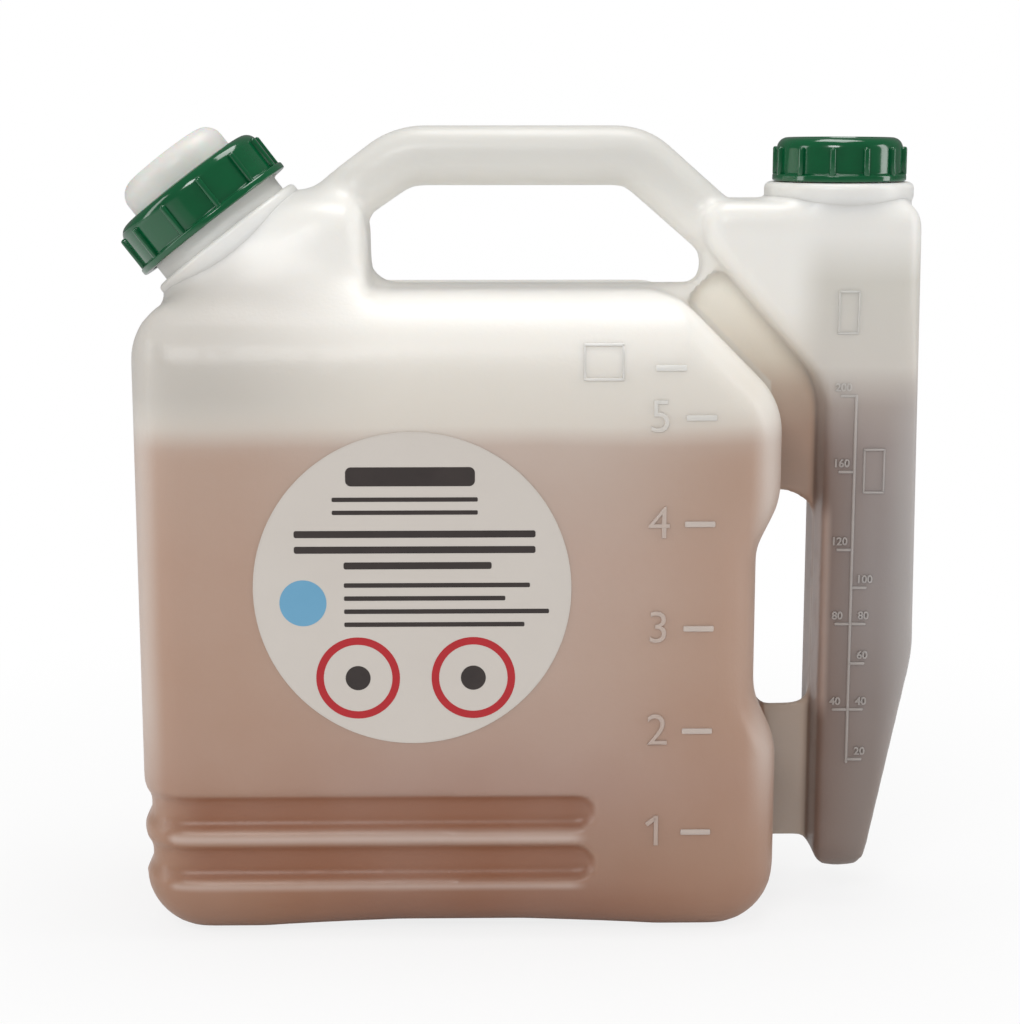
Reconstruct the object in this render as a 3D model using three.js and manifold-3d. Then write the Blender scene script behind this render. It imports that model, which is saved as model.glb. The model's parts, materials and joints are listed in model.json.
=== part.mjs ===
// Fuel mixing canister: a blow-moulded fuel tank with a carrying handle and a slim oil chamber beside it.
// Millimetres, +Z up. The front with the raised scales faces -Y and the oil chamber is on the +X side.
// It stands on Z = 0 with the origin under the middle of its outline.

import * as THREE from 'three';
import { mergeVertices } from 'three/addons/utils/BufferGeometryUtils.js';
import Module from 'manifold-3d';

const wasm = await Module();
wasm.setup();

const degree = Math.PI / 180;

// Moulding and fits
const wall = 2; // wall of the blown body
const fitGap = 0.3; // clearance between pieces that seat on or turn against each other
const overlap = 1; // how far one form is rooted in the next, so that they join
const fineStep = 15 * degree; // one facet of an outline's rounded corner
const roundSegments = 36; // facets of a turned piece
const edgeSegments = 3; // facets of a rounded front or back edge

// Fuel tank
const tankWidth = 240;
const tankDepth = 114;
const tankHeight = 242;
const tankCornerRadius = 24; // lower corners seen from the front
const tankEdgeRadius = 20; // front and back edges
const shoulderRadius = 30; // front and back edges along the top
const shoulderCut = 40; // slanted upper right corner
const shoulderCornerRadius = 24;
const baseArch = 2.7; // rise of the base between its two feet
const baseArchRadius = 900;
const footInset = 46; // from the tank's side to the inner end of a foot
const waistDepth = 8.7; // finger recess in the right side
const waistBottom = 82;
const waistTopDrop = 86; // from the top of the tank down to the end of the recess
const waistSlope = 18; // height over which the recess fades in
const waistRadius = 22;

// Grooves round the lower left
const grooveHeight = 12.6;
const grooveDepth = 4.5;
const grooveSideDepth = 2.8;
const grooveFirst = 30.2; // height of the lower groove's middle
const groovePitch = 19.6;
const grooveCount = 2;
const grooveReach = 170.5; // from the tank's left side to the grooves' round ends

// Slanted filler neck, measured along its axis from the lower rim of the screw ring
const neckTilt = 37.5 * degree;
const neckInset = 27.7; // ring rim's centre from the tank's left side
const neckRise = 24.3; // ring rim's centre above the tank's top
const neckRadius = 28;
const neckWall = 2.4;
const beadRadius = 32.2;
const beadHeight = 6;
const beadDrop = 6.2; // from the ring's lower rim to the bead's upper edge
const beadRounding = 1.5;
const beadRoot = 12; // how far the neck is rooted below the bead
const rimChamfer = 0.8;
const towerDepth = 66;
const towerReach = 86; // from the tank's left side to the tower's right side
const towerCornerRadius = 14;
const towerRoot = 42; // how far the tower reaches below the tank's top
const flareSteps = [[0, 33], [14, 36], [28, 42], [44, 51], [60, 60], [84, 68]]; // below the bead, radius

// Carrying handle
const handleRise = 60.3; // above the tank's top
const handleDepth = 28;
const handleGrip = 22.4; // height of the bar
const handleEdgeRadius = 10;
const handleLeftSlope = 35.2 * degree;
const handleRightSlope = 41.3 * degree;
const handleLeftRadius = 30;
const handleRightRadius = 26;
const handleFoot = 8; // how far it is rooted in the tank's top
const fingerGapLip = 1; // rim round the finger gap above the tank's top
const gapLowerRadii = [11, 5]; // left and right lower corners of the finger gap
const gapSideRadii = [4, 3];
const gapGripRadii = [9, 6];
const handleMeetsHead = 11.6; // where the handle lands, from the head's left side
const pinchWidth = 8; // closed end of the hollow handle, next to the oil chamber

// Oil chamber
const chamberGap = 18.4; // between the tank's side and the chamber
const chamberWidth = 36.9;
const chamberDepth = 47;
const chamberBottom = 12.8;
const chamberRise = 32.6; // above the tank's top
const chamberEdgeRadius = 8;
const chamberFootRadius = 14; // foot seen from the side
const chamberTaper = 18; // narrowing of the foot
const chamberTaperTop = 101.6;
const chamberTaperRadius = 40;
const bulgeDepth = 54;
const bulgeReach = 46.6; // how far the wide head overhangs to the left
const bulgeSide = 15.7; // height of the head's left side
const bulgeSlope = 54.1; // height of the slope from there down to the column
const bulgeLean = 38; // height over which the head leans out at front and back
const bulgeBlend = 40;
const bulgeSideRadius = 14;
const bulgeFootRadius = 25;
const pedestalRadius = 28.3;
const pedestalHeight = 4.9;
const pedestalRounding = 3;
const pedestalSkirt = 18; // height over which its foot flares out of the head
const pedestalRoot = 40; // how far it is rooted in the head
const oilNeckInset = 30.5; // neck axis from the chamber's right side
const oilNeckRadius = 20.3;
const oilNeckWall = 2.3;

// Webs that tie the oil chamber to the tank, with the window between them
const webThickness = 4.4;
const webRoot = 6; // how far the webs are rooted in the walls beside them
const webBottom = 25;
const windowPast = 5.8; // how far the window runs past the waist at each end
const windowLip = 2.2; // edge of web that stays along the waist
const windowTopRadius = 13;
const windowBottomRadius = 9;

// Raised scales
const relief = 0.8;
const litreFirst = 42.3; // height of the first litre's mark
const litre = 1e6; // cubic millimetres
const markLength = 11.2;
const markHeight = 1.4;
const markInset = 26.4; // from the tank's right side to the marks' right ends
const digitHeight = 12.4;
const digitWidth = 8.2;
const digitStroke = 1.7;
const digitGap = 5; // between a digit and its mark
const fillMarkDrop = 25.3; // short mark above the last litre, below the tank's top
const oilLineLow = 58.5;
const oilLineHigh = 202.7;
const oilLineInset = 25.6; // from the chamber's right side
const oilLineWidth = 1.1;
const oilMarkLength = 6;
const oilMarksLeft = [202.1, 173.1, 143, 114, 80.1]; // forty millilitre steps
const oilMarksRight = [128.2, 114, 98.4, 80.1, 60.1]; // twenty millilitre steps

// Screw ring and what it clamps, along the neck axis from the ring's lower rim
const ringHeight = 19;
const ringRadius = 31.5;
const ringFlangeRadius = 33.5;
const ringFlangeHeight = 2.6;
const ringWall = 1.7;
const ringLip = 2.4;
const ringEdgeRadius = 3;
const ringHoleRadius = 22.8;
const gasketThickness = 1.5;
const gasketWidth = 4.2;
const plugFlangeRadius = 28.7;
const plugFlangeThickness = 1.9;
const plugRise = 12; // hat above the ring
const plugWall = 1.8;
const plugEdgeRadius = 4.5;

// Ribs and flanges of the ring and the oil cap
const ribCount = 12;
const ribWidth = 2.7;
const ribRise = 1.6;
const flangeFillet = 0.6; // where the flange meets the skirt

// Oil cap
const capHeight = 18;
const capRadius = 23.7;
const capFlangeRadius = 25.2;
const capFlangeHeight = 2.5;
const capWall = 1.7;
const capTop = 1.8;
const capEdgeRadius = 2.6;
const linerThickness = 1.4;

// Label and contents
const labelRadius = 58.2;
const labelThickness = 0.3;
const labelInset = 103; // centre from the tank's left side
const labelHeight = 135.6;
const fuelDrop = 49.6; // level below the tank's top
const oilDrop = 65.8; // level below the chamber's top

// Places that follow from the sizes above
const left = -tankWidth / 2;
const right = tankWidth / 2;
const front = -tankDepth / 2;
const innerRadius = tankEdgeRadius - wall;
const innerArea = (tankWidth - 2 * wall) * (tankDepth - 2 * wall) - (4 - Math.PI) * innerRadius ** 2;
const litrePitch = litre / innerArea;
const litreCount = Math.floor((tankHeight - shoulderRadius - litreFirst) / litrePitch) + 1;
const handleTop = tankHeight + handleRise;
const towerRight = left + towerReach;
const chamberLeft = right + chamberGap;
const chamberRight = chamberLeft + chamberWidth;
const chamberTop = tankHeight + chamberRise;
const bulgeLeft = chamberLeft - bulgeReach;
const bulgeLow = chamberTop - bulgeSide;
const bulgeFoot = bulgeLow - bulgeSlope;
const windowBottom = waistBottom - windowPast;
const waistTop = tankHeight - waistTopDrop;
const windowTop = waistTop + windowPast;
const pedestalTop = chamberTop + pedestalHeight;
const oilNeckX = chamberRight - oilNeckInset;
const capBottom = pedestalTop + fitGap;
const capUnderside = capBottom + capHeight - capTop;
const oilRim = capUnderside - linerThickness - 2 * fitGap;
const plugFlangeTop = ringHeight - ringLip - fitGap;
const plugFlangeBottom = plugFlangeTop - plugFlangeThickness;
const plugRadius = ringHoleRadius - 2 * fitGap;
const plugTop = ringHeight + plugRise;
const gasketTop = plugFlangeBottom - fitGap;
const gasketBottom = gasketTop - gasketThickness;
const neckRim = gasketBottom - fitGap;
const neckX = left + neckInset;
const neckZ = tankHeight + neckRise;
const beadTop = -beadDrop;
const beadBottom = beadTop - beadHeight;
const neckFrame = new THREE.Matrix4().makeRotationY(-neckTilt).setPosition(neckX, 0, neckZ);

// A point in the front view, at a height along the neck axis and a distance to its right
function besideNeck(height, across) {
  return [
    neckX - height * Math.sin(neckTilt) + across * Math.cos(neckTilt),
    neckZ + height * Math.cos(neckTilt) + across * Math.sin(neckTilt),
  ];
}

// Corners [across, up, radius] become an outline with a true arc at each rounded corner
function roundedOutline(corners) {
  const outline = [];
  corners.forEach(([x, y, radius = 0], index) => {
    const corner = new THREE.Vector2(x, y);
    const [beforeX, beforeY] = corners.at(index - 1);
    const [afterX, afterY] = corners[(index + 1) % corners.length];
    const before = new THREE.Vector2(beforeX, beforeY).sub(corner).normalize();
    const after = new THREE.Vector2(afterX, afterY).sub(corner).normalize();
    const inside = Math.acos(THREE.MathUtils.clamp(before.dot(after), -1, 1));
    const turn = Math.PI - inside;
    if (radius === 0 || turn < degree) {
      outline.push(corner);
      return;
    }
    const bisector = before.clone().add(after).normalize();
    const centre = bisector.multiplyScalar(radius / Math.sin(inside / 2)).add(corner);
    const start = before.clone().multiplyScalar(radius / Math.tan(inside / 2)).add(corner).sub(centre);
    const sense = Math.sign(after.cross(before));
    const steps = Math.max(1, Math.ceil(turn / fineStep));
    for (let step = 0; step <= steps; step += 1) {
      const point = start.clone().rotateAround(new THREE.Vector2(), sense * turn * step / steps);
      outline.push(point.add(centre));
    }
  });
  return outline;
}

// A closed three.js geometry becomes a solid that can be joined and cut
function solid(geometry) {
  geometry.deleteAttribute('normal');
  geometry.deleteAttribute('uv');
  const merged = mergeVertices(geometry);
  const corners = merged.index.array;
  const triangles = [];
  for (let i = 0; i < corners.length; i += 3) {
    const [a, b, c] = corners.slice(i, i + 3);
    if (a !== b && b !== c && c !== a) {
      triangles.push(a, b, c);
    }
  }
  return new wasm.Manifold(new wasm.Mesh({
    numProp: 3,
    vertProperties: new Float32Array(merged.attributes.position.array),
    triVerts: new Uint32Array(triangles),
  }));
}

function joined(solids) {
  return solids.reduce((whole, piece) => whole.add(piece));
}

// A front-view outline given thickness along Y, with rounded front and back edges.
// An inset shrinks it evenly on every side, for the inner face of a wall or a filling.
function slab(outline, depth, edgeRadius, inset = 0, holes = []) {
  const shape = new THREE.Shape(outline);
  shape.holes = holes.map((hole) => new THREE.Path(hole));
  const geometry = new THREE.ExtrudeGeometry(shape, {
    depth: depth - 2 * edgeRadius,
    bevelThickness: edgeRadius - inset,
    bevelSize: edgeRadius - inset,
    bevelOffset: -edgeRadius,
    bevelSegments: edgeSegments,
    steps: 1,
  });
  geometry.translate(0, 0, edgeRadius - depth / 2);
  return solid(geometry.rotateX(Math.PI / 2));
}

// A side-view outline [y, z] given length along X
function sideBar(outline, fromX, toX) {
  const geometry = new THREE.ExtrudeGeometry(new THREE.Shape(outline), {
    depth: toX - fromX,
    bevelEnabled: false,
    steps: 1,
  });
  geometry.rotateX(Math.PI / 2).rotateZ(Math.PI / 2);
  return solid(geometry.translate(fromX, 0, 0));
}

// A plan outline [x, y] given height along Z
function upright(outline, fromZ, toZ) {
  const geometry = new THREE.ExtrudeGeometry(new THREE.Shape(outline), {
    depth: toZ - fromZ,
    bevelEnabled: false,
    steps: 1,
  });
  return solid(geometry.translate(0, 0, fromZ));
}

// A profile [radius, height] turned about a vertical axis
function turned(profile, x = 0) {
  const points = profile.map(([radius, height]) => new THREE.Vector2(radius, height));
  const geometry = new THREE.LatheGeometry(points, roundSegments);
  return solid(geometry.rotateX(Math.PI / 2).translate(x, 0, 0));
}

function onNeck(piece) {
  return piece.transform(neckFrame.elements);
}

function block(fromX, toX, fromY, toY, fromZ, toZ) {
  const geometry = new THREE.BoxGeometry(toX - fromX, toY - fromY, toZ - fromZ);
  return solid(geometry.translate((fromX + toX) / 2, (fromY + toY) / 2, (fromZ + toZ) / 2));
}

// The arc of a rounded rim in a turned profile, from one angle to another
function rimArc(centreRadius, centreHeight, radius, fromAngle, toAngle, steps = 3) {
  return Array.from({ length: steps + 1 }, (_, step) => {
    const angle = (fromAngle + (toAngle - fromAngle) * step / steps) * degree;
    return [centreRadius + radius * Math.cos(angle), centreHeight + radius * Math.sin(angle)];
  });
}

// Fuel tank: front outline, and the side view's round shoulders
const towerSlope = Math.tan(neckTilt);
const [towerAxisX, towerAxisZ] = besideNeck(beadBottom, 0);
const towerLeftZ = towerAxisZ + (left - towerAxisX) * towerSlope;
const towerMeetsTop = towerAxisX + (tankHeight - towerAxisZ) / towerSlope;
const tankOutline = roundedOutline([
  [left, 0, tankCornerRadius],
  [left + footInset, 0],
  [0, 2 * baseArch, baseArchRadius],
  [right - footInset, 0],
  [right, 0, tankCornerRadius],
  [right, waistBottom - waistSlope / 2, waistRadius],
  [right - waistDepth, waistBottom + waistSlope / 2, waistRadius],
  [right - waistDepth, waistTop - waistSlope / 2, waistRadius / 2],
  [right, waistTop + waistSlope / 2, waistRadius],
  [right, tankHeight - shoulderCut, shoulderCornerRadius],
  [right - shoulderCut, tankHeight, shoulderCornerRadius],
  [towerMeetsTop, tankHeight, tankEdgeRadius + 1],
  [left, towerLeftZ, tankEdgeRadius + 1],
]);

function tankForm(inset) {
  const half = tankDepth / 2 - inset;
  const shoulders = roundedOutline([
    [-half, -1],
    [half, -1],
    [half, tankHeight - inset, shoulderRadius - inset],
    [-half, tankHeight - inset, shoulderRadius - inset],
  ]);
  const form = slab(tankOutline, tankDepth, tankEdgeRadius, inset);
  return form.intersect(sideBar(shoulders, left - 1, right + 1)).subtract(grooves(inset));
}

// Two grooves run round the lower left on both faces and end round on the right
function grooves(inset) {
  const reach = left + grooveReach + inset;
  const radius = grooveHeight / 2 + inset;
  const bars = Array.from({ length: grooveCount }, (_, index) => {
    const middle = grooveFirst + index * groovePitch;
    const outline = roundedOutline([
      [left - wall, middle - radius],
      [reach, middle - radius, radius * 0.98],
      [reach, middle + radius, radius * 0.98],
      [left - wall, middle + radius],
    ]);
    return slab(outline, tankDepth + 2 * wall, fitGap);
  });
  const coreLeft = left + grooveSideDepth + inset;
  const coreHalf = tankDepth / 2 - grooveDepth - inset;
  const core = roundedOutline([
    [coreLeft, -coreHalf, tankEdgeRadius - grooveDepth],
    [right + wall, -coreHalf],
    [right + wall, coreHalf],
    [coreLeft, coreHalf, tankEdgeRadius - grooveDepth],
  ]);
  return joined(bars).subtract(upright(core, 0, tankHeight));
}

// Tower that carries the neck: round about the neck axis in front, straight on its right side
function towerForm(inset) {
  const crown = besideNeck(beadBottom, towerDepth / 2);
  const outline = roundedOutline([
    [left, tankHeight - towerRoot],
    [towerRight, tankHeight - towerRoot],
    [towerRight, crown[1] + overlap, towerCornerRadius],
    crown,
    [left, towerLeftZ, tankEdgeRadius + 1],
  ]);
  const flare = flareSteps.map(([drop, radius]) => [radius - inset, beadBottom - drop - inset]);
  const round = turned([[0, flare.at(-1)[1]], ...flare.reverse(), [0, beadBottom - inset]]);
  const wide = slab(outline, tankDepth, towerCornerRadius - 1, inset);
  return wide.intersect(onNeck(round)).add(slab(outline, towerDepth, towerCornerRadius - 1, inset));
}

function neckForm() {
  return onNeck(turned([
    [0, beadBottom - beadRoot],
    [beadRadius - beadRounding, beadBottom - beadRoot],
    [beadRadius - beadRounding, beadBottom],
    [beadRadius, beadBottom + beadRounding],
    [beadRadius, beadTop - beadRounding],
    [beadRadius - beadRounding, beadTop],
    [neckRadius, beadTop],
    [neckRadius, neckRim - rimChamfer],
    [neckRadius - rimChamfer, neckRim],
    [0, neckRim],
  ]));
}

function neckBore() {
  const bore = neckRadius - neckWall;
  return onNeck(turned([[0, -towerRoot], [bore, -towerRoot], [bore, neckRim + 1], [0, neckRim + 1]]));
}

// Handle: a hollow bar with both legs, and the finger gap as a hole in it
const handleStart = besideNeck(beadBottom, beadRadius - 1);
const handleClimb = handleTop - handleStart[1] - beadRounding;
const handleStartTop = handleStart[0] + handleClimb / Math.tan(handleLeftSlope);
const handleEnd = [bulgeLeft + handleMeetsHead, chamberTop - overlap / 2];
const handleEndTop = handleEnd[0] - (handleTop - handleEnd[1]) / Math.tan(handleRightSlope);
const gripUnder = handleTop - handleGrip;
const gripLeft = handleStartTop + handleGrip * Math.tan(handleLeftSlope / 2);
const gripRight = handleEndTop - handleGrip * Math.tan(handleRightSlope / 2);
const gapLeft = towerRight - overlap / 2;
const gapRight = bulgeLeft + overlap / 2;
const gapLeftTop = gripUnder - (gripLeft - towerRight) * Math.tan(handleLeftSlope);
const gapRightTop = gripUnder - (bulgeLeft - gripRight) * Math.tan(handleRightSlope);
const fingerGap = roundedOutline([
  [gapLeft, tankHeight + fingerGapLip, gapLowerRadii[0]],
  [gapRight, tankHeight + fingerGapLip, gapLowerRadii[1]],
  [gapRight, gapRightTop, gapSideRadii[1]],
  [gripRight, gripUnder, gapGripRadii[1]],
  [gripLeft, gripUnder, gapGripRadii[0]],
  [gapLeft, gapLeftTop, gapSideRadii[0]],
]);

function handleForm(inset) {
  const rooted = tankHeight - 2 * handleEdgeRadius - overlap;
  const buried = bulgeLeft + 2 * handleEdgeRadius + handleMeetsHead / 2;
  const outline = roundedOutline([
    [handleStart[0], rooted],
    [buried, rooted],
    [buried, handleEnd[1] - (buried - handleEnd[0]) * Math.tan(handleRightSlope)],
    [handleEndTop, handleTop, handleRightRadius],
    [handleStartTop, handleTop, handleLeftRadius],
    handleStart,
  ]);
  const shown = [
    [left, tankHeight - handleFoot + inset],
    [bulgeLeft - handleFoot, tankHeight - handleFoot + inset],
    [buried, tankHeight - handleFoot + inset + buried - bulgeLeft + handleFoot],
    [buried, handleTop + 1],
    [left, handleTop + 1],
  ];
  return slab(outline, handleDepth, handleEdgeRadius, inset, [fingerGap])
    .intersect(slab(roundedOutline(shown), 2 * handleDepth, 1));
}

// Oil chamber: a slim column under a wide head that overhangs towards the handle
function chamberForm(inset) {
  const outline = roundedOutline([
    [chamberLeft, chamberBottom, chamberEdgeRadius + 2 * overlap],
    [chamberRight - chamberTaper, chamberBottom, chamberEdgeRadius + overlap],
    [chamberRight, chamberTaperTop, chamberTaperRadius],
    [chamberRight, chamberTop, chamberEdgeRadius + overlap / 2],
    [bulgeLeft, chamberTop, chamberEdgeRadius + overlap / 2],
    [bulgeLeft, bulgeLow, bulgeSideRadius],
    [chamberLeft, bulgeFoot, bulgeFootRadius],
  ]);
  const column = chamberDepth / 2 - inset;
  const head = bulgeDepth / 2 - inset;
  const leanFoot = bulgeFoot - chamberEdgeRadius;
  const side = roundedOutline([
    [-column, chamberBottom + inset, chamberFootRadius],
    [column, chamberBottom + inset, chamberFootRadius],
    [column, leanFoot, bulgeBlend],
    [head, leanFoot + bulgeLean, bulgeBlend],
    [head, chamberTop + 1],
    [-head, chamberTop + 1],
    [-head, leanFoot + bulgeLean, bulgeBlend],
    [-column, leanFoot, bulgeBlend],
  ]);
  const form = slab(outline, bulgeDepth, chamberEdgeRadius, inset);
  return form.intersect(sideBar(side, bulgeLeft - 1, chamberRight + 1));
}

function oilNeckForm() {
  return turned([
    [0, chamberTop - pedestalRoot],
    [pedestalRadius - 2 * pedestalRounding, chamberTop - pedestalRoot],
    [pedestalRadius - pedestalRounding / 2, chamberTop - pedestalSkirt],
    [pedestalRadius, chamberTop],
    ...rimArc(pedestalRadius - pedestalRounding, pedestalTop - pedestalRounding, pedestalRounding, 0, 90),
    [oilNeckRadius, pedestalTop],
    [oilNeckRadius, oilRim - rimChamfer],
    [oilNeckRadius - rimChamfer, oilRim],
    [0, oilRim],
  ], oilNeckX);
}

function oilNeckBore() {
  const bore = oilNeckRadius - oilNeckWall;
  const oilBoreFoot = chamberTop - pedestalRoot / 2;
  return turned([[0, oilBoreFoot], [bore, oilBoreFoot], [bore, oilRim + 1], [0, oilRim + 1]], oilNeckX);
}

// Webs in the middle plane, one above and one below the window
function webForm() {
  const outline = roundedOutline([
    [right - tankEdgeRadius, webBottom],
    [chamberLeft + webRoot, webBottom],
    [chamberLeft + webRoot, bulgeFoot + 3 * webRoot],
    [bulgeLeft + webRoot, bulgeLow - webRoot / 2],
    [right - shoulderCut + webRoot, tankHeight - 2 * webRoot],
    [right - tankEdgeRadius, tankHeight - shoulderCut],
  ]);
  const window = roundedOutline([
    [right - waistDepth + windowLip, windowBottom, windowBottomRadius],
    [chamberLeft + overlap / 2, windowBottom, windowBottomRadius],
    [chamberLeft + overlap / 2, windowTop, windowTopRadius],
    [right - waistDepth + windowLip, windowTop],
  ]);
  return slab(outline, webThickness, webThickness / 3, 0, [window]);
}

// A stroke of even width along a polyline, as one outline
function strokeOutline(points, width) {
  const path = points.map(([x, y]) => new THREE.Vector2(x, y));
  const side = (sign) => path.map((point, index) => {
    const before = path[Math.max(index - 1, 0)];
    const after = path[Math.min(index + 1, path.length - 1)];
    const along = after.clone().sub(before).normalize();
    return new THREE.Vector2(-along.y, along.x).multiplyScalar(sign * width / 2).add(point);
  });
  return [...side(-1), ...side(1).reverse()];
}

// Arc points for a digit, centred, with angles in degrees
function bow(x, y, radiusX, radiusY, fromAngle, toAngle, steps = 8) {
  return Array.from({ length: steps + 1 }, (_, step) => {
    const angle = (fromAngle + (toAngle - fromAngle) * step / steps) * degree;
    return [x + radiusX * Math.cos(angle), y + radiusY * Math.sin(angle)];
  });
}

// The strokes of the digits 1 to 5 in a box one wide and one high, centred
const digitStrokes = {
  1: [[[-0.3, 0.25], [0.05, 0.5]], [[0.05, 0.5], [0.05, -0.5]]],
  2: [bow(0, 0.22, 0.46, 0.28, 165, -40), [[0.37, 0.06], [-0.44, -0.46]], [[-0.5, -0.5], [0.5, -0.5]]],
  3: [bow(0, 0.25, 0.42, 0.25, 150, -90), bow(0, -0.24, 0.48, 0.26, 90, -150)],
  4: [[[0.2, -0.5], [0.2, 0.5]], [[0.2, 0.5], [-0.5, -0.2]], [[-0.5, -0.2], [0.5, -0.2]]],
  5: [[[0.42, 0.5], [-0.38, 0.5]], [[-0.36, 0.5], [-0.42, 0]], bow(0, -0.18, 0.48, 0.32, 145, -150)],
};

// A raised outline on a flat front face at y
function raised(outline, y) {
  const geometry = new THREE.ExtrudeGeometry(new THREE.Shape(outline), {
    depth: relief + overlap,
    bevelEnabled: false,
    steps: 1,
  });
  geometry.rotateX(Math.PI / 2).translate(0, y + overlap, 0);
  return solid(geometry);
}

function bar(fromX, toX, z, height, y) {
  const half = height / 2;
  return raised([[fromX, z - half], [toX, z - half], [toX, z + half], [fromX, z + half]]
    .map(([x, up]) => new THREE.Vector2(x, up)), y);
}

function litreScale() {
  const markRight = right - markInset;
  const markLeft = markRight - markLength;
  const digitX = markLeft - digitGap - digitWidth / 2;
  const fillLeft = digitX - digitWidth / 4;
  const marks = [bar(fillLeft, fillLeft + markLength, tankHeight - fillMarkDrop, markHeight, front)];
  for (let count = 1; count <= litreCount; count += 1) {
    const z = litreFirst + (count - 1) * litrePitch;
    marks.push(bar(markLeft, markRight, z, markHeight, front));
    for (const stroke of digitStrokes[count] ?? []) {
      const points = stroke.map(([x, y]) => [
        digitX + x * (digitWidth - digitStroke),
        z + y * (digitHeight - digitStroke),
      ]);
      marks.push(raised(strokeOutline(points, digitStroke), front));
    }
  }
  return joined(marks);
}

function oilScale() {
  const face = -chamberDepth / 2;
  const lineX = chamberRight - oilLineInset;
  const halfLine = oilLineWidth / 2;
  const lineMiddle = (oilLineLow + oilLineHigh) / 2;
  const marks = [bar(lineX - halfLine, lineX + halfLine, lineMiddle, oilLineHigh - oilLineLow, face)];
  for (const z of oilMarksLeft) {
    marks.push(bar(lineX - oilMarkLength, lineX, z, oilLineWidth, face));
  }
  for (const z of oilMarksRight) {
    marks.push(bar(lineX, lineX + oilMarkLength, z, oilLineWidth, face));
  }
  return joined(marks);
}

// The blown body is one moulding: tank, tower, neck, handle, oil chamber, webs and scales.
// Its two hollows stay apart: the handle opens into the tank and ends closed before the chamber.
function canisterBody() {
  const outside = joined([
    tankForm(0),
    towerForm(0),
    neckForm(),
    handleForm(0),
    webForm(),
    chamberForm(0),
    oilNeckForm(),
    litreScale(),
    oilScale(),
  ]);
  const handleHollow = handleForm(wall).intersect(
    block(left, bulgeLeft - pinchWidth, -handleDepth, handleDepth, tankHeight - handleFoot - 1, handleTop),
  );
  const fuelSpace = joined([tankForm(wall), towerForm(wall), handleHollow, neckBore()]);
  const oilSpace = chamberForm(wall).add(oilNeckBore());
  return outside.subtract(fuelSpace).subtract(oilSpace);
}

// Ribs for a cap of a given radius, standing on its flange
function ribs(radius, fromZ, toZ) {
  return joined(Array.from({ length: ribCount }, (_, index) => {
    const rib = block(radius - 1, radius + ribRise, -ribWidth / 2, ribWidth / 2, fromZ, toZ);
    return rib.rotate([0, 0, (index + 0.5) * 360 / ribCount]);
  }));
}

// Screw ring: an open ring whose lip holds the plug's flange down
function screwRing() {
  const bore = ringRadius - ringWall;
  const shell = turned([
    [ringFlangeRadius, 0],
    [ringFlangeRadius, ringFlangeHeight],
    [ringRadius, ringFlangeHeight + flangeFillet],
    ...rimArc(ringRadius - ringEdgeRadius, ringHeight - ringEdgeRadius, ringEdgeRadius, 0, 90),
    [ringHoleRadius, ringHeight],
    [ringHoleRadius, ringHeight - ringLip],
    [bore, ringHeight - ringLip],
    [bore, 0],
    [ringFlangeRadius, 0],
  ]);
  return shell.add(ribs(ringRadius, ringFlangeHeight - flangeFillet, ringHeight - ringEdgeRadius));
}

// Sealing plug: a hat that fills the ring's hole, with a flange under the ring's lip
function sealingPlug() {
  const inner = plugRadius - plugWall;
  return turned([
    [inner, plugFlangeBottom],
    [plugFlangeRadius, plugFlangeBottom],
    [plugFlangeRadius, plugFlangeTop],
    [plugRadius, plugFlangeTop],
    ...rimArc(plugRadius - plugEdgeRadius, plugTop - plugEdgeRadius, plugEdgeRadius, 0, 90, 4),
    [0, plugTop],
    [0, plugTop - plugWall],
    ...rimArc(plugRadius - plugEdgeRadius, plugTop - plugEdgeRadius, plugEdgeRadius - plugWall, 90, 0),
    [inner, plugFlangeBottom],
  ]);
}

function plugGasket() {
  return turned([
    [neckRadius - gasketWidth, gasketBottom],
    [neckRadius, gasketBottom],
    [neckRadius, gasketTop],
    [neckRadius - gasketWidth, gasketTop],
    [neckRadius - gasketWidth, gasketBottom],
  ]);
}

// Oil cap: a closed screw cap with its sealing disc
function oilCap() {
  const top = capBottom + capHeight;
  const bore = capRadius - capWall;
  const shell = turned([
    [bore, capBottom],
    [capFlangeRadius, capBottom],
    [capFlangeRadius, capBottom + capFlangeHeight],
    [capRadius, capBottom + capFlangeHeight + flangeFillet],
    ...rimArc(capRadius - capEdgeRadius, top - capEdgeRadius, capEdgeRadius, 0, 90),
    [0, top],
    [0, capUnderside],
    [bore, capUnderside],
    [bore, capBottom],
  ]);
  return shell.add(ribs(capRadius, capBottom + capFlangeHeight - flangeFillet, top - capEdgeRadius));
}

function oilCapLiner() {
  const radius = capRadius - capWall - fitGap;
  const top = capUnderside - fitGap;
  return turned([[0, top - linerThickness], [radius, top - linerThickness], [radius, top], [0, top]]);
}

function label() {
  const geometry = new THREE.CylinderGeometry(labelRadius, labelRadius, labelThickness, 2 * roundSegments);
  return solid(geometry.translate(left + labelInset, front - labelThickness / 2, labelHeight));
}

// Contents, a fit gap clear of the inner walls
function filling(form, level) {
  return form.intersect(block(left, chamberRight, front, -front, 0, level));
}

// Materials
function plastic(color, roughness, extra = {}) {
  return new THREE.MeshStandardMaterial({ color, roughness, metalness: 0, ...extra });
}

const naturalPlastic = plastic(0xe4ded6, 0.38);
const greenPlastic = plastic(0x14663c, 0.28);
const whitePlastic = plastic(0xece9e4, 0.4);
const sealRubber = plastic(0x2b2b2b, 0.8);
const linerFoam = plastic(0xe9e6df, 0.7);
const labelPaper = plastic(0xd9d1c8, 0.55);
const fuelColour = plastic(0xa37a66, 0.15);
const oilColour = plastic(0x75685f, 0.15);

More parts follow.
